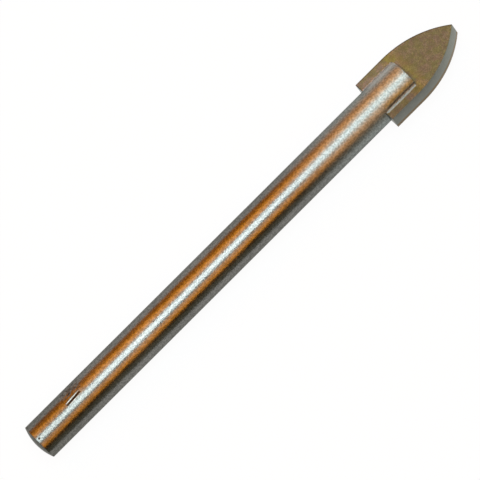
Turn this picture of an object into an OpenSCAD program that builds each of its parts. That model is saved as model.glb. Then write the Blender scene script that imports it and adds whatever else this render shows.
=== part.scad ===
// Spear-point drill bit for glass and tile: a round steel shank with a carbide plate brazed into a slot.
// Lengths are in millimetres and angles in degrees. The bit lies along X with its point towards +X.
// It rests on Z = 0, on the shank and on the lower trailing edge of the plate.

/* [Shank] */
// Diameter of the round shank
shank_d = 4.0; // [3.6:0.1:4.4]
// Length of the shank from the top of its crowned end to the ends of its jaws
shank_length = 51.1; // [40:0.1:70]
// Height of the crown on the driven end
crown_height = 0.4; // [0.2:0.05:0.6]
// How far the outside of each jaw is dressed in at its end
jaw_dressing = 0.02; // [0.01:0.005:0.04]

/* [Carbide tip] */
// Cutting diameter, corner to corner across the plate
cutting_d = 6.0; // [5.6:0.1:7]
// Thickness of the plate
tip_thickness = 1.75; // [1.5:0.05:2]
// Length of the straight sides
side_length = 3.67; // [3:0.01:5]
// Length of the curved point
point_length = 7.15; // [5:0.05:9]
// Relief angle behind every edge of the plate
edge_relief = 4.5; // [2:0.5:7]

/* [Brazed joint] */
// Depth of the slot that holds the plate
slot_depth = 4.17; // [3.5:0.01:5.5]
// Thickness of the braze film between plate and slot
braze_gap = 0.05; // [0.03:0.01:0.08]
// Radius of the hollow fillet of braze along each slot edge
fillet_r = 0.6; // [0.5:0.05:0.8]
// Angle at which the fillet meets the metal
wetting_angle = 12; // [8:1:16]

/* [Nick] */
// Distance of the nick's middle from the top of the crown
nick_from_end = 5.8; // [3:0.05:12]
// Length of the nick on the surface
nick_length = 2.05; // [1:0.05:3]
// Depth of the nick at its middle
nick_depth = 0.07; // [0.03:0.01:0.12]
// Width of the nick at its middle
nick_width = 0.13; // [0.08:0.01:0.2]
// Turn of the nick from the top of the shank towards +Y
nick_turn = 18; // [0:1:60]
// Slant of the nick to the shank's axis
nick_slant = 4; // [0:0.5:15]

/* [Hidden] */
$fn = 96;

shank_r = shank_d / 2;
// Radius of the ball that forms the crown
crown_r = (shank_r * shank_r + crown_height * crown_height) / (2 * crown_height);
// Positions along the bit, from the top of the crown
slot_floor = shank_length - slot_depth;
tip_base = slot_floor + braze_gap;
point_base = tip_base + side_length;
overall_length = point_base + point_length;

// Plate section: each cutting edge is full, and the edge behind it is drawn in by the relief
tip_width = sqrt(cutting_d * cutting_d - tip_thickness * tip_thickness);
relief = tip_thickness * tan(edge_relief);
half_w = tip_width / 2;
half_t = tip_thickness / 2;
// Radius of the point's curved edges: tangent to the sides and meeting on the axis
edge_r = (point_length * point_length + half_w * half_w - relief * relief / 4) / (tip_width - relief);

slot_w = tip_thickness + 2 * braze_gap;
// Centre of the round that hollows a braze fillet, clear of plate and jaw by the wetting angle
fillet_lift = fillet_r * cos(wetting_angle);
fillet_z = half_t + fillet_lift;
fillet_centre_r = shank_r - jaw_dressing + fillet_lift;
fillet_y = sqrt(fillet_centre_r * fillet_centre_r - fillet_z * fillet_z);
// Inner and upper limits of a fillet's section
fillet_in = shank_r / 2;
fillet_top = shank_r * fillet_z / fillet_centre_r;

// Roll at which the shank and the trailing edge of the plate both touch the ground
trail_y = half_w - relief;
rest_roll = asin(shank_r / norm([trail_y, half_t])) - atan2(half_t, trail_y);

// Radius of the wheel-shaped gouge that leaves the nick
nick_wheel_r = (nick_length * nick_length / 4 + nick_depth * nick_depth) / (2 * nick_depth);
// Run past the surfaces that a cut goes through
past = 1;

// Lay a piece that is drawn along X from the crown down at rest
module lay() {
    translate([-overall_length / 2, 0, shank_r]) children();
}

// Turn a piece that is drawn with the plate level to the plate's roll at rest
module roll_to_rest() {
    rotate([-rest_roll, 0, 0]) children();
}

// Round piece along X, straight or tapered
module round_bar(from, to, r_from, r_to) {
    translate([from, 0, 0])
        rotate([0, 90, 0])
            cylinder(h = to - from, r1 = r_from, r2 = r_to);
}

// Outside of the shank: crowned end, straight gripping length, dressed front end
module shank_outside() {
    intersection() {
        round_bar(0, crown_r, shank_r, shank_r);
        translate([crown_r, 0, 0])
            sphere(r = crown_r);
    }
    round_bar(crown_r, slot_floor, shank_r, shank_r);
    round_bar(slot_floor, shank_length, shank_r, shank_r - jaw_dressing);
}

// Slot across the front end, with the plate level
module slot() {
    translate([slot_floor, -shank_d, -slot_w / 2])
        cube([slot_depth + past, 2 * shank_d, slot_w]);
}

// Gouge with a sharp rim, shallow at both ends of the nick
module nick() {
    rim = nick_wheel_r / 4;
    rotate([-nick_turn, 0, 0])
        translate([nick_from_end, 0, shank_r - nick_depth + nick_wheel_r])
            rotate([0, 0, nick_slant])
                for (side = [-90, 90])
                    rotate([side, 0, 0])
                        cylinder(
                            h = rim * nick_width / (2 * nick_depth),
                            r1 = nick_wheel_r,
                            r2 = nick_wheel_r - rim
                        );
}

// Plate between its straight, relieved sides
module tip_sides() {
    translate([tip_base, 0, 0])
        rotate([90, 0, 90])
            linear_extrude(height = side_length)
                polygon([
                    [half_w, half_t],
                    [-trail_y, half_t],
                    [-half_w, -half_t],
                    [trail_y, -half_t]
                ]);
}

// Body of one curved edge: full at the cutting face, smaller behind it
module point_edge() {
    translate([point_base, half_w - edge_r, -half_t])
        cylinder(h = tip_thickness, r1 = edge_r - relief, r2 = edge_r);
}

// Curved point: two opposed edges that meet in the chisel edge
module tip_point() {
    intersection() {
        point_edge();
        rotate([180, 0, 0]) point_edge();
        translate([point_base, -tip_width, -tip_thickness])
            cube([point_length + past, 2 * tip_width, 2 * tip_thickness]);
    }
}

// Space that the plate takes up in the slot
module tip_seat() {
    translate([tip_base, -shank_d, -half_t])
        cube([slot_depth + past, 2 * shank_d, tip_thickness]);
}

// Jaws that the slot leaves, with the plate level
module jaws() {
    difference() {
        shank_outside();
        slot();
    }
}

// Braze in the corner between plate and jaw, before the jaw and the hollow are taken out
module fillet_fill() {
    translate([tip_base, fillet_in, half_t])
        cube([shank_length - tip_base, fillet_y - fillet_in, fillet_top - half_t]);
}

// Round that hollows a fillet
module fillet_hollow() {
    translate([0, fillet_y, fillet_z])
        round_bar(0, overall_length, fillet_r, fillet_r);
}

// A fillet's piece at each of the four slot edges
module at_slot_edges() {
    for (turn = [0, 180])
        rotate([turn, 0, 0]) {
            children();
            mirror([0, 1, 0]) children();
        }
}

module shank() {
    color([0.62, 0.58, 0.52])
        lay()
            difference() {
                shank_outside();
                roll_to_rest() slot();
                nick();
            }
}

module carbide_tip() {
    color([0.47, 0.43, 0.35])
        lay()
            roll_to_rest() {
                tip_sides();
                tip_point();
            }
}

module braze_joint() {
    color([0.76, 0.72, 0.6])
        lay()
            roll_to_rest()
                difference() {
                    union() {
                        intersection() {
                            shank_outside();
                            slot();
                        }
                        at_slot_edges() fillet_fill();
                    }
                    jaws();
                    tip_seat();
                    at_slot_edges() fillet_hollow();
                }
}

shank();
carbide_tip();
braze_joint();
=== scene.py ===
"""Glass and tile drill bit: steel shank, brazed carbide spear tip, and a plain stage around them."""

import math

import bmesh
import bpy
from mathutils import Matrix, Vector, noise


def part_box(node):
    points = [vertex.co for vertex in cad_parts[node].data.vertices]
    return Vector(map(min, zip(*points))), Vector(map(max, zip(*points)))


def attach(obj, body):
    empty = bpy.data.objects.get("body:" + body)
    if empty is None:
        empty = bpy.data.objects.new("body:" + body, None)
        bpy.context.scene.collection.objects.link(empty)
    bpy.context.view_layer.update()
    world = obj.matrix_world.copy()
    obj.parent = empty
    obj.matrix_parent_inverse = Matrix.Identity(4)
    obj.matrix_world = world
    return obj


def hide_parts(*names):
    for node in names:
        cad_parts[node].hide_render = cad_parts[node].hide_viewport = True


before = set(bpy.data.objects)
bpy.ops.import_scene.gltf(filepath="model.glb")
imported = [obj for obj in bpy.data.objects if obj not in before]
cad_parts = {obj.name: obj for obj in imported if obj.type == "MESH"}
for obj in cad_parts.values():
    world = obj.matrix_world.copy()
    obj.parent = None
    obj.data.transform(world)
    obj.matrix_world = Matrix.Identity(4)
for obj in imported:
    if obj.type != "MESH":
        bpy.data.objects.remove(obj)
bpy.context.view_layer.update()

bl_info = {
    "name": "Glass and Tile Drill Bit",
    "version": (1, 0, 0),
    "blender": (4, 5, 0),
    "location": "View3D > Sidebar > Drill Bit",
    "description": "Builds a spear-point drill bit with a brazed carbide tip and its stage",
    "category": "Add Mesh",
}

MM = 0.001
SHANK_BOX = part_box("shank")
TIP_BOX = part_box("carbide_tip")
SHANK_RADIUS = (SHANK_BOX[1][2] - SHANK_BOX[0][2]) / 2
REAR_X = SHANK_BOX[0][0]
FRONT_X = TIP_BOX[1][0]
JAW_END_X = SHANK_BOX[1][0]
TIP_BASE_X = TIP_BOX[0][0]


# Settings

class ShankSettings(bpy.types.PropertyGroup):
    """Sizes and finish of the round steel shank."""

    crown_height: bpy.props.FloatProperty(
        name="Crown height",
        description="Height of the crown on the driven end",
        default=0.4 * MM,
        unit="LENGTH",
    )
    rim_round: bpy.props.FloatProperty(
        name="Rim round",
        description="Radius of the worn rim round the driven end",
        default=0.05 * MM,
        unit="LENGTH",
    )
    jaw_dressing: bpy.props.FloatProperty(
        name="Jaw dressing",
        description="How far the outside of each jaw is dressed in at its end",
        default=0.02 * MM,
        unit="LENGTH",
    )
    jaw_round: bpy.props.FloatProperty(
        name="Jaw end round",
        description="Radius of the broken edge at the jaw ends",
        default=0.05 * MM,
        unit="LENGTH",
    )
    nick_from_end: bpy.props.FloatProperty(
        name="Nick position",
        description="Distance of the nick's middle from the top of the crown",
        default=5.8 * MM,
        unit="LENGTH",
    )
    nick_length: bpy.props.FloatProperty(
        name="Nick length",
        description="Length of the nick on the surface",
        default=2.05 * MM,
        unit="LENGTH",
    )
    nick_depth: bpy.props.FloatProperty(
        name="Nick depth",
        description="Depth of the nick at its middle",
        default=0.07 * MM,
        unit="LENGTH",
    )
    nick_width: bpy.props.FloatProperty(
        name="Nick width",
        description="Width of the nick at its middle",
        default=0.13 * MM,
        unit="LENGTH",
    )
    nick_turn: bpy.props.FloatProperty(
        name="Nick turn",
        description="Turn of the nick from the top of the shank towards +Y",
        default=math.radians(18.0),
        subtype="ANGLE",
    )
    nick_slant: bpy.props.FloatProperty(
        name="Nick slant",
        description="Slant of the nick to the shank's axis",
        default=math.radians(4.0),
        subtype="ANGLE",
    )
    scuff_depth: bpy.props.FloatProperty(
        name="Scuff depth",
        description="Depth of the shallow scuffed flat beside the nick",
        default=0.035 * MM,
        unit="LENGTH",
    )
    colour: bpy.props.FloatVectorProperty(
        name="Steel colour",
        description="Base colour of the satin steel",
        default=(0.18, 0.178, 0.166),
        subtype="COLOR",
    )
    roughness: bpy.props.FloatProperty(
        name="Steel roughness",
        description="Roughness of the satin steel away from the brazed end",
        default=0.25,
        subtype="FACTOR",
    )


class TipSettings(bpy.types.PropertyGroup):
    """Sizes and finish of the carbide plate."""

    cutting_diameter: bpy.props.FloatProperty(
        name="Cutting diameter",
        description="Cutting diameter, corner to corner across the plate",
        default=6.0 * MM,
        unit="LENGTH",
    )
    thickness: bpy.props.FloatProperty(
        name="Thickness",
        description="Thickness of the plate",
        default=1.75 * MM,
        unit="LENGTH",
    )
    side_length: bpy.props.FloatProperty(
        name="Side length",
        description="Length of the plate's straight sides",
        default=3.67 * MM,
        unit="LENGTH",
    )
    edge_relief: bpy.props.FloatProperty(
        name="Edge relief",
        description="Relief angle behind every edge of the plate",
        default=math.radians(4.5),
        subtype="ANGLE",
    )
    edge_break: bpy.props.FloatProperty(
        name="Edge break",
        description="Width of the fine break along the plate's edges",
        default=0.025 * MM,
        unit="LENGTH",
    )
    face_colour: bpy.props.FloatVectorProperty(
        name="Face colour",
        description="Base colour of the sintered faces",
        default=(0.158, 0.156, 0.083),
        subtype="COLOR",
    )
    flank_colour: bpy.props.FloatVectorProperty(
        name="Flank colour",
        description="Base colour of the ground flanks",
        default=(0.178, 0.186, 0.165),
        subtype="COLOR",
    )


class BrazeSettings(bpy.types.PropertyGroup):
    """Sizes and finish of the braze."""

    gap: bpy.props.FloatProperty(
        name="Film thickness",
        description="Thickness of the braze film between plate and slot",
        default=0.05 * MM,
        unit="LENGTH",
    )
    fillet_radius: bpy.props.FloatProperty(
        name="Fillet radius",
        description="Radius of the hollow fillet along each slot edge",
        default=0.6 * MM,
        unit="LENGTH",
    )
    wetting_angle: bpy.props.FloatProperty(
        name="Wetting angle",
        description="Angle at which the fillet meets the metal",
        default=math.radians(12.0),
        subtype="ANGLE",
    )
    colour: bpy.props.FloatVectorProperty(
        name="Braze colour",
        description="Base colour of the bright braze",
        default=(0.14, 0.14, 0.126),
        subtype="COLOR",
    )
    # Lighter copy of the braze colour, painted on one fillet as a sheen that stands in for its brighter
    # reflection
    painted_paler_colour: bpy.props.FloatVectorProperty(
        name="Pale braze colour",
        description="Base colour of the paler fillet along the low side of the upper jaw",
        default=(0.36, 0.38, 0.38),
        subtype="COLOR",
    )


class StageSettings(bpy.types.PropertyGroup):
    """Floor, lamps and camera."""

    floor_colour: bpy.props.FloatVectorProperty(
        name="Floor colour",
        description="Colour of the plain floor",
        default=(0.8, 0.9, 0.98),
        subtype="COLOR",
    )
    floor_glow: bpy.props.FloatProperty(
        name="Floor whiteness",
        description="Share of plain white in what the camera and reflections see of the floor",
        default=0.95,
        subtype="FACTOR",
    )
    room_colour: bpy.props.FloatVectorProperty(
        name="Room colour",
        description="Dim light from the room around the table",
        default=(0.04, 0.032, 0.016),
        subtype="COLOR",
    )
    end_colour: bpy.props.FloatVectorProperty(
        name="Room end colour",
        description="Soft light from the two ends of the room, in line with the bit",
        default=(0.62, 0.6, 0.56),
        subtype="COLOR",
    )
    camera_distance: bpy.props.FloatProperty(
        name="Camera distance",
        description="Distance of the camera from the middle of the view",
        default=354.8 * MM,
        unit="LENGTH",
    )
    camera_to_rear: bpy.props.FloatProperty(
        name="Camera lean to the rear",
        description="Lean of the view from straight above towards the driven end",
        default=math.radians(2.26),
        subtype="ANGLE",
    )
    camera_to_side: bpy.props.FloatProperty(
        name="Camera lean to the side",
        description="Lean of the view from straight above towards -Y",
        default=math.radians(2.27),
        subtype="ANGLE",
    )
    camera_turn: bpy.props.FloatProperty(
        name="Camera turn",
        description="Turn of the picture that sets the bit on its diagonal",
        default=math.radians(44.994),
        subtype="ANGLE",
    )
    camera_lens: bpy.props.FloatProperty(
        name="Camera lens",
        description="Focal length in millimetres on a 36 mm sensor",
        default=272.06,
    )


# The bit's shared form

class BitForm:
    """Positions and curves that the pieces share, worked out from the settings."""

    def __init__(self, scene):
        self.shank = scene.bit_shank
        self.tip = scene.bit_tip
        self.braze = scene.bit_braze
        self.radius = SHANK_RADIUS
        self.slot_floor = TIP_BASE_X - self.braze.gap
        self.point_base = TIP_BASE_X + self.tip.side_length
        self.half_thick = self.tip.thickness / 2
        self.half_slot = self.half_thick + self.braze.gap
        width = math.sqrt(self.tip.cutting_diameter**2 - self.tip.thickness**2)
        half_wide = width / 2
        self.relief = self.tip.thickness * math.tan(self.tip.edge_relief)
        # Each edge's arc runs on from a straight side, and a full and a relieved arc meet at the front
        point = FRONT_X - self.point_base
        self.edge_radius = (point**2 + half_wide**2 - self.relief**2 / 4) / (width - self.relief)
        self.edge_centre = self.edge_radius - half_wide
        # The bit rolls until the plate's lower trailing edge meets the floor that the shank lies on
        trailing = half_wide - self.relief
        corner = math.hypot(trailing, self.half_thick)
        self.roll = math.asin(self.radius / corner) - math.atan2(self.half_thick, trailing)

    def laid(self, x, across, up):
        """Point of the plate, given across and up from its middle, as it lies at rest."""
        c, s = math.cos(self.roll), math.sin(self.roll)
        return Vector((x, across * c + up * s, self.radius - across * s + up * c))

    def jaw_radius(self, x):
        """Radius of the shank's outside at x."""
        share = (x - self.slot_floor) / (JAW_END_X - self.slot_floor)
        return self.radius - self.shank.jaw_dressing * min(1.0, max(0.0, share))


# Mesh helpers

def stations(start, end, wide, fine=None, windows=()):
    """Positions from start to end in wide steps, with fine steps inside the windows."""
    count = max(1, math.ceil((end - start) / wide))
    marks = [start + (end - start) * i / count for i in range(count + 1)]
    for low, high in windows:
        low, high = max(low, start), min(high, end)
        if low < high:
            count = math.ceil((high - low) / fine)
            marks = [m for m in marks if not low - fine / 2 < m < high + fine / 2]
            marks += [low + (high - low) * i / count for i in range(count + 1)]
    # Marks closer together than a fifth of a step are dropped
    least = (fine or wide) / 5
    kept = [start]
    for mark in sorted(marks):
        if mark - kept[-1] > least and end - mark > least:
            kept.append(mark)
    return kept + [end]


def smooth_window(value, low, high, soft):
    """1 between low and high, falling smoothly to 0 over soft at both ends."""
    t = min(value - low, high - value) / soft
    t = min(1.0, max(0.0, t))
    return t * t * (3 - 2 * t)


def bell(value, middle=0.0, width=1.0):
    """1 at the middle, falling away smoothly over the width on both sides."""
    off = (value - middle) / width
    return math.exp(-off * off)


def bridge(bm, first, second, closed=True):
    """Quads between two rows of vertices."""
    count = len(first)
    for i in range(count if closed else count - 1):
        j = (i + 1) % count
        bm.faces.new((first[i], first[j], second[j], second[i]))


def finish_mesh(name, bm, sharp_degrees):
    """Object from a bmesh, smooth-shaded except at edges sharper than the angle."""
    bmesh.ops.recalc_face_normals(bm, faces=bm.faces)
    mesh = bpy.data.meshes.new(name)
    bm.to_mesh(mesh)
    bm.free()
    if not mesh.polygons or mesh.validate():
        raise RuntimeError(f"The mesh of {name} is empty or faulty")
    mesh.polygons.foreach_set("use_smooth", [True] * len(mesh.polygons))
    mesh.set_sharp_from_angle(angle=math.radians(sharp_degrees))
    mesh.update()
    obj = bpy.data.objects.new(name, mesh)
    bpy.context.scene.collection.objects.link(obj)
    return obj


# Shank

CROWN_RINGS = 10
RIM_RINGS = 4
JAW_ROUND_ROWS = 3
# Run of the worn rim along the wall, and of the rim with a clear space after it, in radii of the rim
RIM_RUN = 1.2
RIM_CLEAR = 1.4
# Steps along the wall and the jaws, and round the shank, with the fine ones at the wear
WALL_STEP = 0.9 * MM
WORN_STEP = 0.05 * MM
JAW_STEP = 0.5 * MM
TURN_STEP = math.radians(2.5)
WORN_TURN_STEP = math.radians(0.6)
WORN_TURNS = (math.radians(3.0), math.radians(78.0))
# Raised lips beside the nick as place across it, width and height, in widths and depths of the nick
NICK_LIPS = ((1.75, 0.5, 0.5), (-0.95, 0.4, 0.12))
# Half width of the painted shade in the nick, in widths of the nick
NICK_SHADE_HALF_WIDTH = 0.75
# Share of the nick's depth from which its painted shade is full
NICK_SHADE_FULL = 0.25
RIM_PIT = {
    "x": 0.7 * MM,
    "turn": math.radians(6.0),
    "size": 0.09 * MM,
    "depth": 0.03 * MM,
    "end_x": 0.95 * MM,
}
# Place and ragged border of the scuff, and how even, cloudy and streaky its depth is
SCUFF = {
    "x": (4.55 * MM, 7.45 * MM),
    "turn": (math.radians(33.0), math.radians(74.0)),
    "soft_x": 0.8 * MM,
    "soft_turn": math.radians(11.0),
    "margin": 0.1 * MM,
    "ragged": 0.5 * MM,
    "ragged_size": (0.5 * MM, 0.35 * MM),
    "streak_size": (0.9 * MM, 0.16 * MM),
    "cloud_size": (0.55 * MM, 0.5 * MM),
    "even": 0.75,
    "cloudy": 0.6,
    "streaky": 0.3,
}
# Scratches across the scuff as start x, start turn, end x, end turn
SCRATCHES = tuple(
    (x0 * MM, math.radians(turn0), x1 * MM, math.radians(turn1))
    for x0, turn0, x1, turn1 in (
        (6.28, 54.0, 6.97, 30.0),
        (5.89, 59.0, 6.58, 35.0),
        (5.5, 66.0, 6.09, 41.0),
        (5.1, 58.0, 5.45, 43.0),
        (6.6, 34.0, 7.3, 31.0),
    )
)
SCRATCH_WIDTH = 0.05 * MM
SCRATCH_DEPTH = 0.014 * MM
SCRATCH_GRIME = 0.8
# Raised burr beside a scratch as its place in widths and its height in depths of the scratch
BURR_PLACE = 1.1
BURR_HEIGHT = 0.5
# Faint smear from the scuff past the nick's end, as start x, start turn, end x, end turn
SMEAR = (6.0 * MM, math.radians(38.0), 7.55 * MM, math.radians(11.0))
SMEAR_WIDTH = 0.22 * MM
# How far thin braze has spread up a jaw from one slot edge; its wash is also painted paler as a sheen
# that stands in for reflected light
WASH_REACH = 1.4 * MM
# Patchy painted shade in the crease on a jaw beside the braze of its other slot edge
CREASE_SHADE_OFFSET = 0.21 * MM
CREASE_SHADE_WIDTH = 0.11 * MM
CREASE_SHADE_PATCH = 0.4 * MM
CREASE_SHADE_STRENGTH = 0.7
CREASE_SHADE_UNEVEN = 0.6
# Straw-coloured heat tint on the same side, beyond the painted crease shade
STRAW_OFFSET = 0.5 * MM
STRAW_WIDTH = 0.23 * MM
STRAW_START = 0.7 * MM


def ripple(x, arc, size, layer):
    """Smooth noise on the shank's wall, sized along it and round it. Each layer is another pattern."""
    return noise.noise(Vector((x / size[0], arc / size[1], layer)))


def nick_wear(form, x, turn):
    """Radial change of the nick and its raised lips, and the painted shade inside the nick."""
    shank = form.shank
    off_x = x - shank.nick_from_end
    off_arc = form.radius * (turn - shank.nick_turn)
    c, s = math.cos(shank.nick_slant), math.sin(shank.nick_slant)
    along = off_x * c + off_arc * s
    across = (off_arc * c - off_x * s) / shank.nick_width
    run = 1 - (2 * along / shank.nick_length) ** 2
    if run <= 0:
        return 0.0, 0.0
    change = -run * max(0.0, 1 - 2 * abs(across) / run)
    for place, width, height in NICK_LIPS:
        change += height * math.sqrt(run) * bell(across, place, width)
    # Painted shade inside the nick
    grime_and_shade = math.exp(-((across / NICK_SHADE_HALF_WIDTH) ** 4)) * min(1.0, run / NICK_SHADE_FULL)
    return shank.nick_depth * change, grime_and_shade


def scuff_wear(form, x, turn):
    """Radial change, grime and strength of the scuffed flat with its ragged border."""
    arc = form.radius * turn
    ragged = SCUFF["ragged"] * ripple(x, arc, SCUFF["ragged_size"], layer=11.0)
    patch = smooth_window(x + ragged, *SCUFF["x"], SCUFF["soft_x"])
    patch *= smooth_window(turn + ragged / form.radius, *SCUFF["turn"], SCUFF["soft_turn"])
    streak = ripple(x, arc, SCUFF["streak_size"], layer=3.0)
    cloud = ripple(x, arc, SCUFF["cloud_size"], layer=7.0)
    uneven = SCUFF["even"] + SCUFF["cloudy"] * cloud + SCUFF["streaky"] * streak
    change = -form.shank.scuff_depth * patch * uneven
    return change, patch * max(0.0, streak + cloud), patch


def stroke(form, x, turn, ends):
    """Strength along a straight stroke on the wall, 0 at its ends, and the distance across it."""
    start_x, start_turn, end_x, end_turn = ends
    run_x, run_arc = end_x - start_x, form.radius * (end_turn - start_turn)
    off_x, off_arc = x - start_x, form.radius * (turn - start_turn)
    length = math.hypot(run_x, run_arc)
    share = (off_x * run_x + off_arc * run_arc) / length**2
    fade = math.sin(math.pi * share) if 0 < share < 1 else 0.0
    return fade, (off_arc * run_x - off_x * run_arc) / length


def scratch_wear(form, x, turn):
    """Radial change and grime of the scratches across the scuff."""
    change = 0.0
    grime_and_shade = 0.0
    for ends in SCRATCHES:
        fade, across = stroke(form, x, turn, ends)
        if fade > 0:
            across /= SCRATCH_WIDTH
            burr = BURR_HEIGHT * bell(across, BURR_PLACE)
            change += SCRATCH_DEPTH * fade * (burr - bell(across))
            grime_and_shade = max(grime_and_shade, SCRATCH_GRIME * fade * bell(across))
    return change, grime_and_shade


def wear_at(form, x, turn):
    """Radial change, grime and painted shade, and scuff of the wall, at x from the crown's top and a
    turn from the top.
    """
    nick, nick_shade = nick_wear(form, x, turn)
    scuff, scuff_grime, patch = scuff_wear(form, x, turn)
    scratch, scratch_grime = scratch_wear(form, x, turn)
    from_pit = math.hypot(x - RIM_PIT["x"], form.radius * (turn - RIM_PIT["turn"]))
    pit = bell(from_pit, width=RIM_PIT["size"])
    change = nick + scuff + scratch - RIM_PIT["depth"] * pit
    fade, across = stroke(form, x, turn, SMEAR)
    smear = fade * bell(across, width=SMEAR_WIDTH)
    return change, max(nick_shade, scuff_grime, scratch_grime, pit), max(patch, smear)


def shank_turns(form):
    """Turns round the shank as four runs: upper jaw, slot side, lower jaw, slot side."""
    half = math.asin(form.half_slot / form.radius)
    quarter = math.pi / 2
    upper = (form.roll - quarter + half, form.roll + quarter - half)
    lower = (upper[0] + math.pi, upper[1] + math.pi)
    top = stations(*upper, TURN_STEP, WORN_TURN_STEP, [WORN_TURNS])
    side = stations(upper[1], lower[0], TURN_STEP)[1:-1]
    bottom = stations(*lower, TURN_STEP)
    return top, side, bottom, [turn + math.pi for turn in side]


def ring(bm, form, x, radius, turns, wear=False):
    """Vertices round the shank at x."""
    grime_and_shade_layer = bm.verts.layers.float["grime_and_shade"]
    scuff_layer = bm.verts.layers.float["scuff"]
    out = []
    for turn in turns:
        change, grime_and_shade, scuff = wear_at(form, x - REAR_X, turn) if wear else (0.0, 0.0, 0.0)
        r = radius + change
        vertex = bm.verts.new((x, r * math.sin(turn), form.radius + r * math.cos(turn)))
        vertex[grime_and_shade_layer] = grime_and_shade
        vertex[scuff_layer] = scuff
        out.append(vertex)
    return out


def add_crown(bm, form, turns):
    """Crown and the worn rim round it. Gives the last ring and the place where the wall starts."""
    rim = form.shank.rim_round
    height = form.shank.crown_height
    crown_radius = (form.radius**2 + height**2) / (2 * height)
    slope = math.asin((form.radius - rim) / crown_radius)
    top = bm.verts.new((REAR_X, 0, form.radius))
    previous = None
    for i in range(1, CROWN_RINGS + 1):
        lean = slope * i / CROWN_RINGS
        x = REAR_X + crown_radius * (1 - math.cos(lean))
        current = ring(bm, form, x, crown_radius * math.sin(lean), turns)
        if previous:
            bridge(bm, previous, current)
        else:
            for j, vertex in enumerate(current):
                bm.faces.new((top, vertex, current[(j + 1) % len(current)]))
        previous = current
    # Rim as a quarter round from the crown to the wall
    crown_edge = REAR_X + crown_radius * (1 - math.cos(slope))
    for i in range(1, RIM_RINGS):
        lean = slope + (math.pi / 2 - slope) * i / RIM_RINGS
        x = crown_edge + RIM_RUN * rim * (math.cos(slope) - math.cos(lean))
        rise = (math.sin(lean) - math.sin(slope)) / (1 - math.sin(slope))
        current = ring(bm, form, x, form.radius - rim + rim * rise, turns)
        bridge(bm, previous, current)
        previous = current
    return previous, crown_edge + RIM_CLEAR * rim


def add_jaw(bm, form, root, run):
    """One jaw, from its root at the slot floor to its broken end edge, with a flat inner wall."""
    layers = bm.verts.layers.float
    grime_and_shade_layer, wash_and_sheen_layer, straw_layer = layers["grime_and_shade"], layers["wash_and_sheen"], layers["straw"]
    end_round = form.shank.jaw_round
    rows = stations(form.slot_floor, JAW_END_X - end_round, JAW_STEP)[1:]
    rows = [(x, form.jaw_radius(x)) for x in rows]
    for i in range(1, JAW_ROUND_ROWS + 1):
        lean = math.pi / 2 * i / JAW_ROUND_ROWS
        x = JAW_END_X - end_round * (1 - math.sin(lean))
        rows.append((x, form.jaw_radius(x) - end_round * (1 - math.cos(lean))))
    previous = root
    for x, radius in rows:
        from_floor = x - form.slot_floor
        washed = min(1.0, from_floor / WASH_REACH)
        heated = min(1.0, from_floor / STRAW_START)
        patch = ripple(x, 0.0, (CREASE_SHADE_PATCH, CREASE_SHADE_PATCH), layer=23.0)
        patchy = CREASE_SHADE_STRENGTH + CREASE_SHADE_UNEVEN * patch
        current = []
        for turn in run:
            up = radius * math.cos(turn - form.roll)
            up = math.copysign(max(abs(up), form.half_slot), up)
            vertex = bm.verts.new(form.laid(x, radius * math.sin(turn - form.roll), up))
            from_edge = form.radius * (turn - run[0])
            to_edge = form.radius * (run[-1] - turn)
            # Pale braze wash, also painted lighter as a sheen that stands in for reflected light
            vertex[wash_and_sheen_layer] = washed * max(0.0, 1 - to_edge / WASH_REACH)
            # Patchy painted shade in the crease beside the braze fillet
            vertex[grime_and_shade_layer] = patchy * bell(from_edge, CREASE_SHADE_OFFSET, CREASE_SHADE_WIDTH)
            vertex[straw_layer] = heated * bell(from_edge, STRAW_OFFSET, STRAW_WIDTH)
            current.append(vertex)
        bridge(bm, previous, current, closed=False)
        bm.faces.new((previous[-1], previous[0], current[0], current[-1]))
        previous = current
    bm.faces.new(previous)


def make_shank(form):
    """The crowned and worn rod with its slotted front end."""
    bm = bmesh.new()
    for name in ("grime_and_shade", "scuff", "wash_and_sheen", "straw"):
        bm.verts.layers.float.new(name)
    runs = shank_turns(form)
    turns = [turn for run in runs for turn in run]
    previous, wall_start = add_crown(bm, form, turns)
    # Straight wall with closer rings at the wear
    margin = SCUFF["margin"]
    worn = [
        (wall_start, REAR_X + RIM_PIT["end_x"]),
        (REAR_X + SCUFF["x"][0] - margin, REAR_X + SCUFF["x"][1] + margin),
    ]
    for x in stations(wall_start, form.slot_floor, WALL_STEP, WORN_STEP, worn):
        current = ring(bm, form, x, form.radius, turns, wear=True)
        bridge(bm, previous, current)
        previous = current
    # Slot floor between the roots of the jaws
    upper_end = len(runs[0])
    lower_start = upper_end + len(runs[1])
    lower_end = lower_start + len(runs[2])
    upper = previous[:upper_end]
    lower = previous[lower_start:lower_end]
    bm.faces.new([
        upper[-1],
        *previous[upper_end:lower_start],
        lower[0],
        lower[-1],
        *previous[lower_end:],
        upper[0],
    ])
    add_jaw(bm, form, upper, runs[0])
    add_jaw(bm, form, lower, runs[2])
    return finish_mesh("bit_shank", bm, sharp_degrees=38.0)


# Carbide tip

SIDE_STEP = 0.6 * MM
ARC_STEPS = 44
# Width of the rim that is set off round each face, which carries the painted dark edge shade
FACE_RIM = 0.14 * MM
# Share of a flank's height above the strip along its lower edge
FLANK_ABOVE_STRIP = 0.72
# Strength of the painted dark edge shade on trailing edges, against 1 on cutting edges
TRAILING_EDGE_SHADE = 0.1
# Share of the half thickness below which an edge has the painted shade along the lower edge
LOW_EDGE_SHADE_SHARE = 0.9
# Edges sharper than this are broken
CORNER_ANGLE = math.radians(30.0)
# Least share of a face's normal along the plate's that counts as a broad face
BROAD_SHARE = 0.7


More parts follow.
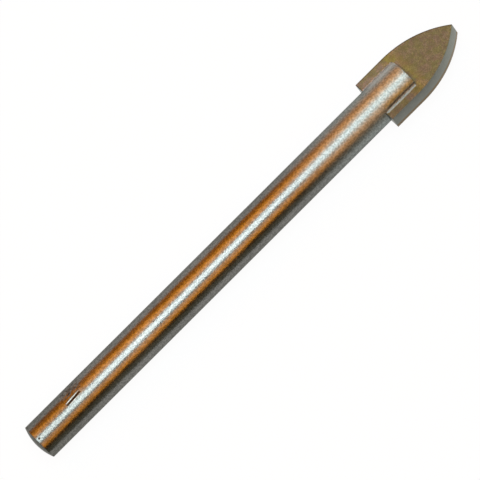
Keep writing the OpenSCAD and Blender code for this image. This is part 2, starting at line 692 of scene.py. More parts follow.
def plate_edge(form, full):
    """Half outline of a face from base to apex as (x, across), on its full or its relieved side."""
    eased_radius = form.edge_radius - form.relief
    radius, other = (form.edge_radius, eased_radius) if full else (eased_radius, form.edge_radius)
    apex = (radius**2 - other**2) / (4 * form.edge_centre)
    reach = math.acos((apex + form.edge_centre) / radius)
    side = radius - form.edge_centre
    points = [(x, side) for x in stations(TIP_BASE_X, form.point_base, SIDE_STEP)[:-1]]
    for i in range(ARC_STEPS + 1):
        lean = reach * i / ARC_STEPS
        x = form.point_base + radius * math.sin(lean)
        points.append((x, radius * math.cos(lean) - form.edge_centre))
    return points


def edge_row(bm, form, points, side, up):
    """Vertices along one edge of a face, on one side of the plate's middle."""
    return [bm.verts.new(form.laid(x, side * across, up)) for x, across in points]


def broad_face(bm, first, second):
    """Faces across the plate between two edge rows that meet at the apex."""
    made = []
    for i in range(len(first) - 2):
        made.append(bm.faces.new((first[i], first[i + 1], second[i + 1], second[i])))
    made.append(bm.faces.new((first[-2], first[-1], second[-2])))
    return made


def flank(bm, first, second):
    """Flank between two edge rows. Gives the row where the strip along the second one starts."""
    strip = [bm.verts.new(a.co.lerp(b.co, FLANK_ABOVE_STRIP)) for a, b in zip(first, second)]
    bridge(bm, first, strip, closed=False)
    bridge(bm, strip, second, closed=False)
    return strip


def make_tip(form):
    """The spear-shaped plate with relieved flanks, a chisel edge and finely broken edges."""
    bm = bmesh.new()
    for name in ("rim", "low_edge_shade"):
        bm.verts.layers.float.new(name)
    full, eased = plate_edge(form, True), plate_edge(form, False)
    half = form.half_thick
    top_left = edge_row(bm, form, full, 1, half)
    top_right = edge_row(bm, form, eased[:-1], -1, half) + [top_left[-1]]
    under_right = edge_row(bm, form, full, -1, -half)
    under_left = edge_row(bm, form, eased[:-1], 1, -half) + [under_right[-1]]
    faces = broad_face(bm, top_left, top_right) + broad_face(bm, under_right, under_left)
    left_strip = flank(bm, top_left, under_left)
    right_strip = flank(bm, top_right, under_right)
    base = (top_left, left_strip, under_left, under_right, right_strip, top_right)
    bm.faces.new([row[0] for row in base])
    bmesh.ops.recalc_face_normals(bm, faces=bm.faces)
    bmesh.ops.inset_region(bm, faces=faces, thickness=FACE_RIM, use_even_offset=True)
    inside = {vertex for face in faces for vertex in face.verts}
    inside.update(left_strip, right_strip)
    bmesh.ops.bevel(
        bm,
        geom=[edge for edge in bm.edges if edge.calc_face_angle(0.0) > CORNER_ANGLE],
        offset=form.tip.edge_break,
        segments=2,
        profile=0.5,
        affect="EDGES",
        clamp_overlap=True,
    )
    # Painted dark shade round the faces and along the lower edges for the materials, and a material for
    # the faces and for the flanks
    edge_shade_layer = bm.verts.layers.float["rim"]
    low_edge_shade_layer = bm.verts.layers.float["low_edge_shade"]
    middle = form.laid(0, 0, 0)
    upwards = form.laid(0, 0, 1) - middle
    sideways = form.laid(0, 1, 0) - middle
    for vertex in bm.verts:
        if vertex not in inside:
            up = (vertex.co - middle).dot(upwards)
            cutting = up * (vertex.co - middle).dot(sideways) > 0
            vertex[edge_shade_layer] = 1.0 if cutting else TRAILING_EDGE_SHADE
            vertex[low_edge_shade_layer] = 1.0 if up < -LOW_EDGE_SHADE_SHARE * half else 0.0
    for face in bm.faces:
        face.material_index = 0 if abs(face.normal.dot(upwards)) > BROAD_SHARE else 1
    return finish_mesh("bit_carbide_tip", bm, sharp_degrees=25.0)


# Braze

# Fillets as side of the plate, upper or under face, and size, with the fillet painted paler first
FILLETS = ((1, 1, 0.85), (-1, 1, 0.95), (1, -1, 0.8), (-1, -1, 0.85))
FILLET_STEP = 0.11 * MM
FILLET_END_STEP = 0.03 * MM
# Stretches with fine steps, and the shorter ones over which a fillet swells and runs out
REAR_STRETCH = 0.25 * MM
FRONT_STRETCH = 0.2 * MM
RUN_IN = 0.22 * MM
RUN_OUT = 0.14 * MM
# Unevenness of a fillet's size, as a share of it, and the length of its swells
FLOW = 0.17
FLOW_LENGTH = 0.7 * MM
# Places in the noise, so that each fillet swells in its own way
FLOW_STEP = 5.3
FLOW_LAYER = 1.7
# Least size of a fillet, at its ends
LEAST_LEG = 0.1
HOLLOW_STEPS = 8
# Place of a fillet's hidden corner, as a share of the seat's half width
CORNER_SHARE = 0.985
# How far the film stays short of the jaws' outside and of their ends
FILM_SIDE = 0.02 * MM
FILM_END = 0.01 * MM


def fillet_section(form, radius, leg):
    """Hollow section of a fillet as (across, up) points: its hidden corner, then from plate to jaw."""
    fillet = form.braze.fillet_radius
    lift = fillet * math.cos(form.braze.wetting_angle)
    centre_up = form.half_thick + lift
    centre_radius = form.radius - form.shank.jaw_dressing + lift
    centre_across = math.sqrt(centre_radius**2 - centre_up**2)
    # Directions from the hollow's centre to where it meets the plate and the jaw's wall
    toe = math.atan2(form.half_thick - centre_up, -math.sqrt(fillet**2 - lift**2)) % (2 * math.pi)
    cosine = (centre_radius**2 + fillet**2 - radius**2) / (2 * centre_radius * fillet)
    to_axis = math.atan2(-centre_up, -centre_across)
    heel = (to_axis - math.acos(min(1.0, cosine))) % (2 * math.pi)
    corner = Vector((CORNER_SHARE * math.sqrt(radius**2 - form.half_thick**2), form.half_thick))
    points = [corner]
    for i in range(HOLLOW_STEPS + 1):
        lean = toe + (heel - toe) * i / HOLLOW_STEPS
        point = Vector((centre_across + fillet * math.cos(lean), centre_up + fillet * math.sin(lean)))
        points.append(corner + leg * (point - corner))
    return points


def add_fillet(bm, form, number, rows):
    """One fillet along a slot edge, drawn in at both ends."""
    side, upper, size = FILLETS[number]
    previous = None
    for x in rows:
        run_in = min(1.0, (x - TIP_BASE_X) / RUN_IN)
        run_out = min(1.0, (JAW_END_X - x) / RUN_OUT)
        full = math.sqrt(max(0.0, min(run_in, run_out)))
        flow = noise.noise(Vector((x / FLOW_LENGTH, number * FLOW_STEP, FLOW_LAYER)))
        leg = max(LEAST_LEG, full * size * (1 + FLOW * flow))
        section = fillet_section(form, form.jaw_radius(x), leg)
        current = [bm.verts.new(form.laid(x, side * across, upper * up)) for across, up in section]
        if previous:
            bridge(bm, previous, current)
        else:
            bm.faces.new(current)
        previous = current
    bm.faces.new(previous)


def add_film(bm, form):
    """Film on the slot floor and, as two arms from it, on both faces of the plate."""
    inner = math.sqrt(form.radius**2 - form.half_thick**2) - FILM_SIDE
    outer = math.sqrt(form.radius**2 - form.half_slot**2) - FILM_SIDE
    widest = form.radius - FILM_SIDE
    section = (
        (-outer, -form.half_slot),
        (outer, -form.half_slot),
        (inner, -form.half_thick),
        (widest, 0.0),
        (inner, form.half_thick),
        (outer, form.half_slot),
        (-outer, form.half_slot),
        (-inner, form.half_thick),
        (-widest, 0.0),
        (-inner, -form.half_thick),
    )
    seat = (2, 3, 4, 7, 8, 9)
    arms = ((9, 0, 1, 2), (4, 5, 6, 7))

    def film_row(x, corners):
        return [bm.verts.new(form.laid(x, *section[i])) for i in corners]

    floor_row = film_row(form.slot_floor, range(len(section)))
    base_row = film_row(TIP_BASE_X, range(len(section)))
    bridge(bm, floor_row, base_row)
    bm.faces.new(floor_row)
    bm.faces.new([base_row[i] for i in seat])
    for arm in arms:
        arm_end = film_row(JAW_END_X - FILM_END, arm)
        bridge(bm, [base_row[i] for i in arm], arm_end)
        bm.faces.new(arm_end)


def make_braze(form):
    """Four hollow fillets with run-out ends, and the film round the plate's seat."""
    bm = bmesh.new()
    ends = [
        (TIP_BASE_X, TIP_BASE_X + REAR_STRETCH),
        (JAW_END_X - FRONT_STRETCH, JAW_END_X),
    ]
    rows = stations(TIP_BASE_X, JAW_END_X, FILLET_STEP, FILLET_END_STEP, ends)
    # The fillet painted paler, as a sheen that stands in for its brighter reflection, has the second
    # material
    add_fillet(bm, form, 0, rows)
    for face in bm.faces:
        face.material_index = 1
    for number in range(1, len(FILLETS)):
        add_fillet(bm, form, number, rows)
    add_film(bm, form)
    return finish_mesh("bit_braze", bm, sharp_degrees=45.0)


# Node helpers

# A Mix node has its two colours and its mixed colour on these sockets
FIRST_COLOUR = 6
SECOND_COLOUR = 7
MIXED_COLOUR = 2
# Ranges of a noise that make soft patches, crisp patches and hollows
SOFT = (0.3, 0.7)
CRISP = (0.35, 0.65)
HOLLOW = (0.35, 0.7)


class Tree:
    """A material's or world's node tree with short calls for the nodes used here."""

    def __init__(self, owner):
        owner.use_nodes = True
        self.nodes = owner.node_tree.nodes
        self.links = owner.node_tree.links
        self.nodes.clear()

    def add(self, kind, inputs=None, **settings):
        """New node with settings, its inputs given by name or number as values or sockets."""
        node = self.nodes.new(kind)
        for key, value in settings.items():
            setattr(node, key, value)
        for key, value in (inputs or {}).items():
            if isinstance(value, bpy.types.NodeSocket):
                self.links.new(value, node.inputs[key])
            else:
                node.inputs[key].default_value = value
        return node

    def place(self):
        """Coordinates on the object."""
        return self.add("ShaderNodeTexCoord").outputs["Object"]

    def split(self, vector):
        """Outputs X, Y and Z of a vector."""
        return self.add("ShaderNodeSeparateXYZ", {0: vector}).outputs

    def painted(self, layer):
        """Strength of a layer that the mesh carries."""
        return self.add("ShaderNodeAttribute", attribute_name=layer).outputs["Fac"]

    def maths(self, operation, *inputs, clamp=False):
        """Result of one maths step."""
        node = self.add("ShaderNodeMath", dict(enumerate(inputs)), operation=operation, use_clamp=clamp)
        return node.outputs[0]

    def ranged(self, value, low, high, to_low=0.0, to_high=1.0):
        """Value mapped smoothly from one range to another."""
        node = self.add(
            "ShaderNodeMapRange",
            {"Value": value, "From Min": low, "From Max": high, "To Min": to_low, "To Max": to_high},
            interpolation_type="SMOOTHSTEP",
        )
        return node.outputs["Result"]

    def noise(self, vector, size=1.0, detail=2.0, roughness=0.5):
        """Noise value on a vector, with swells of about the size."""
        node = self.add(
            "ShaderNodeTexNoise",
            {"Vector": vector, "Scale": 1 / size, "Detail": detail, "Roughness": roughness},
        )
        return node.outputs["Fac"]

    def mixed(self, factor, first, second, blend="MIX"):
        """Colour between two colours."""
        inputs = {0: factor, FIRST_COLOUR: first, SECOND_COLOUR: second}
        node = self.add("ShaderNodeMix", inputs, data_type="RGBA", blend_type=blend)
        return node.outputs[MIXED_COLOUR]

    def tinted(self, factor, colour, tint):
        """Colour multiplied by a tint where the factor is 1."""
        return self.mixed(factor, colour, tint, "MULTIPLY")

    def shaded(self, pattern, contrast, colour, tones):
        """Colour that goes from its dark to its light tone with a pattern."""
        dark, light = tones
        return self.mixed(self.ranged(pattern, *contrast), tone(colour, dark), tone(colour, light))

    def relief(self, height, distance):
        """Normal with fine relief from a height."""
        inputs = {"Height": height, "Strength": 1.0, "Distance": distance}
        return self.add("ShaderNodeBump", inputs).outputs[0]

    def surface(self, colour, roughness, normal, metallic=1.0, **others):
        """Output node for a surface, with the names of other inputs written with underscores."""
        inputs = {"Base Color": colour, "Metallic": metallic, "Roughness": roughness, "Normal": normal}
        inputs.update((name.replace("_", " "), value) for name, value in others.items())
        self.finish(self.add("ShaderNodeBsdfPrincipled", inputs).outputs[0])

    def finish(self, shader, kind="ShaderNodeOutputMaterial"):
        """Output node for a shader."""
        self.add(kind, {"Surface": shader})


def tone(colour, factor=1.0):
    """Colour with alpha, lightened or darkened by a factor."""
    return (colour[0] * factor, colour[1] * factor, colour[2] * factor, 1.0)


# Steel finish

# Sizes of the grinding rings, the grain and the clouds, and the height of the relief
RING_WIDTH = 0.05 * MM
RING_LENGTH = 1.6 * MM
STEEL_GRAIN = 0.2 * MM
STEEL_CLOUD = 2.6 * MM
STEEL_RELIEF = 0.011 * MM
# Stretches over which the steel gets darker towards the driven end, and duller and paler from the heat
REAR_DARKENING = (REAR_X + 14.0 * MM, REAR_X)
DULLED = (0.0, 20.0 * MM)
PALED = (4.0 * MM, 22.0 * MM)
STEEL_TONES = (0.94, 1.06)
REAR_DARKENING_TINT = (0.82, 0.82, 0.8, 1.0)
PALED_TINT = (1.5, 1.69, 1.73)
DARK_SPECK = (0.75, 0.75, 0.75, 1.0)
LIGHT_SPECK = (1.23, 1.23, 1.23, 1.0)
WASH_AND_SHEEN_COLOUR = (0.74, 0.75, 0.72, 1.0)
STRAW_TINT = (1.0, 0.86, 0.5, 1.0)
# Colour of the grime on the scuff, scratches and pit, and of the painted shade in the nick and in the
# creases beside the braze
GRIME_AND_SHADE_COLOUR = (0.012, 0.011, 0.01, 1.0)
GLANCING_TINT = (0.5, 0.5, 0.48, 1.0)
# How much rougher the steel is where it is dulled, in its clouds and where it is worn
DULLED_ROUGHER = 0.2
CLOUD_ROUGHER = 0.12
WORN_ROUGHER = 0.16
# Height of the rings against the grain's, and how much higher the grain stands where it is dulled
RING_SHARE = 0.6
DULLED_COARSER = 0.4


def lathe_vector(tree, form, place):
    """Coordinates wrapped round the shank, in lengths and widths of a grinding ring."""
    split = tree.split(place)
    height = tree.maths("SUBTRACT", split["Z"], form.radius)
    turn = tree.maths("ARCTAN2", split["Y"], height)
    arc = tree.maths("MULTIPLY", turn, form.radius / RING_LENGTH)
    along = tree.maths("MULTIPLY", split["X"], 1 / RING_WIDTH)
    return tree.add("ShaderNodeCombineXYZ", {"X": along, "Y": arc, "Z": 0.0}).outputs[0]


def steel_colour(tree, form, place, grain, cloud, grime_and_shade):
    """Steel's colour: clouds and specks, the stretches along the shank, then the wash with its painted
    sheen and the straw tint on the jaws, then grime and painted shade.
    """
    colour = form.shank.colour
    along = tree.split(place)["X"]
    base = tree.shaded(cloud, SOFT, colour, STEEL_TONES)
    base = tree.tinted(tree.ranged(along, *REAR_DARKENING), base, REAR_DARKENING_TINT)
    paled = (*(part * tint for part, tint in zip(colour, PALED_TINT)), 1.0)
    base = tree.mixed(tree.ranged(along, *PALED), base, paled)
    specks = tree.mixed(tree.ranged(grain, *CRISP), DARK_SPECK, LIGHT_SPECK)
    base = tree.tinted(1.0, base, specks)
    # Pale braze wash, also painted lighter as a sheen that stands in for reflected light
    base = tree.mixed(tree.painted("wash_and_sheen"), base, WASH_AND_SHEEN_COLOUR)
    base = tree.tinted(tree.painted("straw"), base, STRAW_TINT)
    # Grime on the scuff, scratches and pit, and painted shade in the nick and in the creases beside the
    # braze
    return tree.mixed(grime_and_shade, base, GRIME_AND_SHADE_COLOUR)


def steel_material(form):
    """Satin ground steel: fine sparkle, rings of grinding lines, duller towards the brazed end."""
    material = bpy.data.materials.new("satin_steel")
    tree = Tree(material)
    place = tree.place()
    rings = tree.noise(lathe_vector(tree, form, place), detail=3.0, roughness=0.6)
    grain = tree.noise(place, STEEL_GRAIN, roughness=0.6)
    cloud = tree.noise(place, STEEL_CLOUD, detail=3.0, roughness=0.55)
    grime_and_shade = tree.painted("grime_and_shade")
    dull = tree.ranged(tree.split(place)["X"], *DULLED)
    worn = tree.maths("MAXIMUM", grime_and_shade, tree.painted("scuff"))
    roughness = tree.maths("MULTIPLY_ADD", dull, DULLED_ROUGHER, form.shank.roughness)
    cloudy = tree.maths("SUBTRACT", cloud, 0.5)
    roughness = tree.maths("MULTIPLY_ADD", cloudy, CLOUD_ROUGHER, roughness)
    roughness = tree.maths("MULTIPLY_ADD", worn, WORN_ROUGHER, roughness)
    coarse = tree.maths("MULTIPLY_ADD", dull, DULLED_COARSER, 1.0)
    height = tree.maths("MULTIPLY_ADD", grain, coarse, tree.maths("MULTIPLY", rings, RING_SHARE))
    tree.surface(
        steel_colour(tree, form, place, grain, cloud, grime_and_shade),
        roughness,
        tree.relief(height, STEEL_RELIEF),
        Specular_Tint=GLANCING_TINT,
    )
    return material


# Carbide finish

FACE_GRAIN = 0.13 * MM
FACE_MOTTLE = 0.6 * MM
FACE_HUE = 0.9 * MM
FACE_RELIEF = 0.006 * MM
FACE_TONES = (0.76, 1.2)
FACE_ROUGHNESS = (0.5, 0.65)
PORE_STRENGTH = 0.8
PORE_TONE = 0.5
OLIVE_TINT = (0.95, 1.01, 0.9, 1.0)
ROSE_TINT = (1.1, 0.97, 1.32, 1.0)
# Painted dark shade along the face's edges
EDGE_SHADE_TINT = (0.25, 0.2, 0.17, 1.0)
# Heat tints round the jaw's end as distances ahead of it, with borders that wander this far. Painted
# shade beside the jaw and a painted shadow just ahead of its end follow the heat tints.
HEAT_WANDER = 1.4 * MM
STAIN_FRONT = (1.5 * MM, 0.2 * MM)
STAIN_REAR = (-1.2 * MM, -0.2 * MM)
STAIN_TINT = (1.36, 1.32, 0.84, 1.0)
WING = (0.0, -1.2 * MM)
WING_TINT = (1.26, 1.24, 1.4, 1.0)
# Painted shade on the plate beside the jaw, on its -Y side, behind the jaw's end
JAW_SHADE_FRONT = (0.8 * MM, -0.4 * MM)
JAW_SHADE_TINT = (0.7, 0.68, 0.6, 1.0)
# Painted shadow of the jaw on the plate, just ahead of its end
SHADE_FRONT = (0.5 * MM, 0.2 * MM)
SHADE_TINT = (0.84, 0.86, 1.35, 1.0)
# Places across the plate, as shares of the shank's radius and as distances from its axis
JAW_SHADE_SIDE = (0.6, 0.85)
SHADE_SIDES = (1.75 * MM, 1.45 * MM)
FLANK_LINE_WIDTH = 0.06 * MM
FLANK_LINE_LENGTH = 0.9 * MM
FLANK_CLOUD = 0.7 * MM
FLANK_RELIEF = 0.003 * MM
FLANK_TONES = (0.88, 1.12)
FLANK_ROUGHNESS = (0.3, 0.42)
GROOVE_STRENGTH = 0.4
GROOVE_TONE = 0.8
POINTWARD_TINT = (1.3, 1.3, 1.25, 1.0)
# Painted brown shade along the flank's lower edge
LOW_EDGE_SHADE_TINT = (0.88, 0.58, 0.3, 1.0)


def heat_tinted_and_shaded(tree, form, base, place, mottle):
    """The face's colour with the heat tints that brazing has left round the jaw's end, painted shade
    beside the jaw and a painted shadow just ahead of its end.
    """
    ahead = tree.maths("SUBTRACT", tree.split(place)["X"], JAW_END_X)
    wander = tree.maths("MULTIPLY_ADD", tree.maths("SUBTRACT", mottle, 0.5), HEAT_WANDER, ahead)
    stained = tree.maths("MULTIPLY", tree.ranged(wander, *STAIN_FRONT), tree.ranged(wander, *STAIN_REAR))
    base = tree.tinted(stained, base, STAIN_TINT)
    base = tree.tinted(tree.ranged(wander, *WING), base, WING_TINT)
    # Distance from the axis across the plate as it lies
    sideways = (0.0, math.cos(form.roll), -math.sin(form.roll))
    across = tree.add("ShaderNodeVectorMath", {0: place, 1: sideways}, operation="DOT_PRODUCT")
    across = tree.maths("ADD", across.outputs["Value"], form.radius * math.sin(form.roll))
    # Painted shade on the plate beside the jaw, on its -Y side
    beside = tree.ranged(across, *(-form.radius * share for share in JAW_SHADE_SIDE))
    jaw_shaded = tree.maths("MULTIPLY", beside, tree.ranged(ahead, *JAW_SHADE_FRONT))
    base = tree.tinted(jaw_shaded, base, JAW_SHADE_TINT)
    # Painted shadow of the jaw on the plate, just ahead of its end
    before_jaw = tree.ranged(tree.maths("ABSOLUTE", across), *SHADE_SIDES)
    shaded = tree.maths("MULTIPLY", tree.ranged(ahead, *SHADE_FRONT), before_jaw)
    return tree.tinted(shaded, base, SHADE_TINT)


def carbide_face_material(form):
    """Sintered carbide face: fine mottled grain, painted dark shade along its edges, warmer where it was
    heated beside the jaw ends, with painted shade and shadow by the jaws.
    """
    material = bpy.data.materials.new("sintered_carbide")
    tree = Tree(material)
    place = tree.place()
    grain = tree.noise(place, FACE_GRAIN, detail=3.0, roughness=0.65)
    mottle = tree.noise(place, FACE_MOTTLE, detail=3.0, roughness=0.6)
    hue = tree.noise(place, FACE_HUE, roughness=0.6)
    colour = form.tip.face_colour
    base = tree.shaded(mottle, SOFT, colour, FACE_TONES)
    pores = tree.mixed(PORE_STRENGTH, base, tone(colour, PORE_TONE))
    base = tree.mixed(tree.ranged(grain, *HOLLOW), pores, base)
    tint = tree.mixed(tree.ranged(hue, *CRISP), OLIVE_TINT, ROSE_TINT)
    base = tree.tinted(1.0, base, tint)
    # Painted dark shade along the face's edges, strongest on the cutting edges
    base = tree.tinted(tree.painted("rim"), base, EDGE_SHADE_TINT)
    tree.surface(
        heat_tinted_and_shaded(tree, form, base, place, mottle),
        tree.ranged(grain, 0.2, 0.8, *FACE_ROUGHNESS),
        tree.relief(grain, FACE_RELIEF),
        metallic=0.15,
        Specular_IOR_Level=0.3,
    )
    return material


def carbide_flank_material(form):
    """Ground carbide flank: neutral grey with fine lines across the edge, lighter towards the point,
    with painted brown shade along its lower edge.
    """
    material = bpy.data.materials.new("ground_carbide")
    tree = Tree(material)
    place = tree.place()
    scale = (1 / FLANK_LINE_WIDTH, 1 / FLANK_LINE_LENGTH, 1 / FLANK_LINE_LENGTH)
    drawn_out = tree.add("ShaderNodeMapping", {"Vector": place, "Scale": scale}).outputs[0]
    lines = tree.noise(drawn_out, roughness=0.6)
    cloud = tree.noise(place, FLANK_CLOUD, detail=3.0, roughness=0.6)
    colour = form.tip.flank_colour
    base = tree.shaded(cloud, SOFT, colour, FLANK_TONES)
    grooves = tree.mixed(GROOVE_STRENGTH, base, tone(colour, GROOVE_TONE))
    base = tree.mixed(tree.ranged(lines, *HOLLOW), grooves, base)
    pointward = tree.ranged(tree.split(place)["X"], form.point_base, FRONT_X)
    base = tree.tinted(pointward, base, POINTWARD_TINT)
    # Painted brown shade along the flank's lower edge
    base = tree.tinted(tree.ranged(tree.painted("low_edge_shade"), 0.02, 0.4), base, LOW_EDGE_SHADE_TINT)
    roughness = tree.ranged(cloud, 0.25, 0.75, *FLANK_ROUGHNESS)
    tree.surface(base, roughness, tree.relief(lines, FLANK_RELIEF))
    return material


# Braze finish

BRAZE_SKIN = 0.3 * MM
BRAZE_RELIEF = 0.008 * MM
BRAZE_TONES = (0.68, 1.3)
BRAZE_ROUGHNESS = (0.36, 0.54)


def braze_material(name, colour):
    """Braze alloy with a slightly dull, flowed skin."""
    material = bpy.data.materials.new(name)
    tree = Tree(material)
    skin = tree.noise(tree.place(), BRAZE_SKIN, detail=3.0, roughness=0.6)
    base = tree.shaded(skin, CRISP, colour, BRAZE_TONES)
    roughness = tree.ranged(skin, *SOFT, *BRAZE_ROUGHNESS)
    tree.surface(base, roughness, tree.relief(skin, BRAZE_RELIEF))
    return material


# Stage

WHITE = (1.0, 1.0, 1.0, 1.0)
FLOOR_REACH = 1.5
FLOOR_CLOUD = 1 / 18
FLOOR_DARKER = 0.98
# Where the room's ends begin and are full, as the share of a direction that lies along the bit
ROOM_ENDS = (0.3, 0.85)
# Where their shine begins and is full, in strength of the ends and in the share that points up
SHINE_ENDS = (0.0, 0.6)
SHINE_RISE = (0.05, 0.5)
LOW_SHINE = 0.4
LAMP_DISTANCE = 0.5
# Lamps as name, lean from straight above towards -Y in degrees, width, length and brightness
LAMPS = (
    ("overhead_strip", -10.5, 0.23, 0.4, (5.4, 6.0, 6.3)),
    ("sky_panel", -9.0, 0.8, 0.4, (0.1, 0.36, 0.46)),
    ("warm_panel_left", -44.5, 0.26, 0.46, (3.1, 1.06, 0.01)),
    ("warm_panel_low", -73.5, 0.26, 0.46, (1.05, 0.3, 0.0)),
    ("warm_panel_right", 27.5, 0.27, 0.46, (2.5, 0.86, 0.01)),
    ("dim_panel_right", 74.0, 0.22, 0.46, (0.2, 0.2, 0.15)),
)
# Middle of the view on the shank's axis, and the frame's shift from it as a share of its width
VIEW_MIDDLE = Vector((-0.7 * MM, 0, SHANK_RADIUS))
FRAME_SHIFT = 0.00257
SENSOR_WIDTH = 36.0


def floor_material(stage):
    """Plain pale floor that looks white to the camera and in reflections, and takes the bit's shadow."""
    material = bpy.data.materials.new("plain_floor")
    tree = Tree(material)
    path = tree.add("ShaderNodeLightPath").outputs
    seen = tree.maths("ADD", path["Is Camera Ray"], path["Is Glossy Ray"], clamp=True)
    seen = tree.maths("ADD", seen, path["Is Transmission Ray"], clamp=True)
    share = tree.maths("MULTIPLY", seen, stage.floor_glow)
    cloud = tree.noise(tree.place(), FLOOR_CLOUD)
    base = tree.mixed(cloud, tone(stage.floor_colour, FLOOR_DARKER), tone(stage.floor_colour))
    plain = tree.add("ShaderNodeBsdfDiffuse", {"Color": base}).outputs[0]
    white = tree.add("ShaderNodeEmission", {"Color": WHITE, "Strength": 1.0}).outputs[0]
    tree.finish(tree.add("ShaderNodeMixShader", {0: share, 1: plain, 2: white}).outputs[0])
    return material


def room_world(stage):
    """Dim room that is lighter towards its two ends, where metal shows its white upper half."""
    world = bpy.data.worlds.new("room")
    tree = Tree(world)
    path = tree.add("ShaderNodeLightPath").outputs
    direction = tree.split(tree.add("ShaderNodeTexCoord").outputs["Generated"])
    ends = tree.ranged(tree.maths("ABSOLUTE", direction["X"]), *ROOM_ENDS)
    colour = tree.mixed(ends, tone(stage.room_colour), tone(stage.end_colour))
    low_shine = tone(stage.end_colour, LOW_SHINE)
    shine = tree.mixed(tree.ranged(direction["Z"], *SHINE_RISE), low_shine, WHITE)
    shine = tree.mixed(tree.ranged(ends, *SHINE_ENDS), tone(stage.room_colour), shine)
    colour = tree.mixed(path["Is Glossy Ray"], colour, shine)
    colour = tree.mixed(path["Is Camera Ray"], colour, WHITE)
    light = tree.add("ShaderNodeBackground", {"Color": colour, "Strength": 1.0})
    tree.finish(light.outputs[0], "ShaderNodeOutputWorld")
    return world


def add_floor(stage):
    """Flat square floor under the bit."""
    reach = FLOOR_REACH
    corners = [(-reach, -reach, 0), (reach, -reach, 0), (reach, reach, 0), (-reach, reach, 0)]
    mesh = bpy.data.meshes.new("floor")
    mesh.from_pydata(corners, [], [(0, 1, 2, 3)])
    mesh.materials.append(floor_material(stage))
    floor = bpy.data.objects.new("floor", mesh)
    bpy.context.scene.collection.objects.link(floor)
    return floor


def add_lamp(name, lean_degrees, width, length, brightness):
    """Soft rectangular lamp above the bit, its long side along the bit."""
    lean = math.radians(lean_degrees)
    peak = max(brightness)
    data = bpy.data.lights.new(name, "AREA")
    data.shape = "RECTANGLE"
    data.size = length
    data.size_y = width
    data.color = [part / peak for part in brightness]
    data.energy = math.pi * width * length * peak
    lamp = bpy.data.objects.new(name, data)
    bpy.context.scene.collection.objects.link(lamp)
    height = SHANK_RADIUS + LAMP_DISTANCE * math.cos(lean)
    lamp.location = (0, -LAMP_DISTANCE * math.sin(lean), height)
    lamp.rotation_euler = (lean, 0, 0)
    lamp.visible_camera = False


def add_camera(stage):
    """Camera that looks down on the bit and sets it on the picture's diagonal."""
    data = bpy.data.cameras.new("camera")
    data.sensor_width = SENSOR_WIDTH
    data.lens = stage.camera_lens
    data.clip_start = 0.01
    data.clip_end = 10.0
    data.shift_x = -FRAME_SHIFT
    data.shift_y = FRAME_SHIFT
    camera = bpy.data.objects.new("camera", data)
    bpy.context.scene.collection.objects.link(camera)
    rear, side, turn = stage.camera_to_rear, stage.camera_to_side, stage.camera_turn
    forward = Vector((math.cos(rear), 0, math.sin(rear)))
    upright = Vector((-math.sin(rear), 0, math.cos(rear)))
    right_hand = Vector((0, -1, 0))
    across = right_hand * math.cos(side) - upright * math.sin(side)
    back = upright * math.cos(side) + right_hand * math.sin(side)
    right = forward * math.cos(turn) + across * math.sin(turn)
    up = forward * math.sin(turn) - across * math.cos(turn)
    matrix = Matrix((right, up, back)).transposed().to_4x4()
    matrix.translation = VIEW_MIDDLE + back * stage.camera_distance
    camera.matrix_world = matrix
    bpy.context.scene.camera = camera


# Operators

class BIT_OT_add_shank(bpy.types.Operator):
    """Add the slotted steel shank"""

    bl_idname = "bit.add_shank"
    bl_label = "Add Shank"

    def execute(self, context):
        form = BitForm(context.scene)
        obj = make_shank(form)
        obj.data.materials.append(steel_material(form))
        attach(obj, "root")
        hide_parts("shank")
        return {"FINISHED"}


class BIT_OT_add_tip(bpy.types.Operator):
    """Add the carbide spear tip"""

    bl_idname = "bit.add_tip"
    bl_label = "Add Carbide Tip"

    def execute(self, context):
        form = BitForm(context.scene)
        obj = make_tip(form)
        obj.data.materials.append(carbide_face_material(form))
        obj.data.materials.append(carbide_flank_material(form))
        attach(obj, "root")
        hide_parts("carbide_tip")
        return {"FINISHED"}


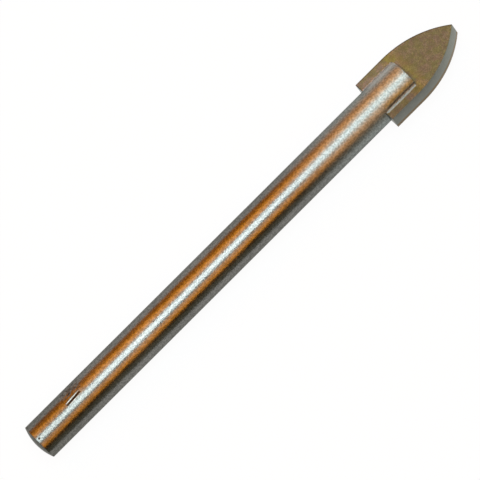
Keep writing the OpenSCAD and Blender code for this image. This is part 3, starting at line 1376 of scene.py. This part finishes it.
class BIT_OT_add_braze(bpy.types.Operator):
    """Add the braze film and its fillets"""

    bl_idname = "bit.add_braze"
    bl_label = "Add Braze"

    def execute(self, context):
        form = BitForm(context.scene)
        obj = make_braze(form)
        obj.data.materials.append(braze_material("bright_braze", form.braze.colour))
        obj.data.materials.append(braze_material("braze_painted_paler", form.braze.painted_paler_colour))
        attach(obj, "root")
        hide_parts("braze_joint")
        return {"FINISHED"}


class BIT_OT_add_stage(bpy.types.Operator):
    """Add the floor, lamps, room light and camera"""

    bl_idname = "bit.add_stage"
    bl_label = "Add Stage"

    def execute(self, context):
        stage = context.scene.bit_stage
        floor = add_floor(stage)
        for lamp in LAMPS:
            add_lamp(*lamp)
        context.scene.world = room_world(stage)
        context.scene.view_settings.view_transform = "Standard"
        add_camera(stage)
        return {"FINISHED"}


class BIT_PT_panel(bpy.types.Panel):
    """Buttons and settings of the drill bit"""

    bl_idname = "BIT_PT_panel"
    bl_label = "Drill Bit"
    bl_space_type = "VIEW_3D"
    bl_region_type = "UI"
    bl_category = "Drill Bit"

    def draw(self, context):
        for group, operator in SECTIONS:
            box = self.layout.box()
            settings = getattr(context.scene, group)
            for name in settings.__annotations__:
                box.prop(settings, name)
            box.operator(operator)


SETTINGS = {
    "bit_shank": ShankSettings,
    "bit_tip": TipSettings,
    "bit_braze": BrazeSettings,
    "bit_stage": StageSettings,
}
SECTIONS = (
    ("bit_shank", "bit.add_shank"),
    ("bit_tip", "bit.add_tip"),
    ("bit_braze", "bit.add_braze"),
    ("bit_stage", "bit.add_stage"),
)
CLASSES = (
    *SETTINGS.values(),
    BIT_OT_add_shank,
    BIT_OT_add_tip,
    BIT_OT_add_braze,
    BIT_OT_add_stage,
    BIT_PT_panel,
)


def register():
    for item in CLASSES:
        bpy.utils.register_class(item)
    for name, group in SETTINGS.items():
        setattr(bpy.types.Scene, name, bpy.props.PointerProperty(type=group))


def unregister():
    for name in SETTINGS:
        delattr(bpy.types.Scene, name)
    for item in reversed(CLASSES):
        bpy.utils.unregister_class(item)


def main():
    register()
    bpy.ops.bit.add_shank()
    bpy.ops.bit.add_tip()
    bpy.ops.bit.add_braze()
    bpy.ops.bit.add_stage()


if __name__ == "__main__":
    main()
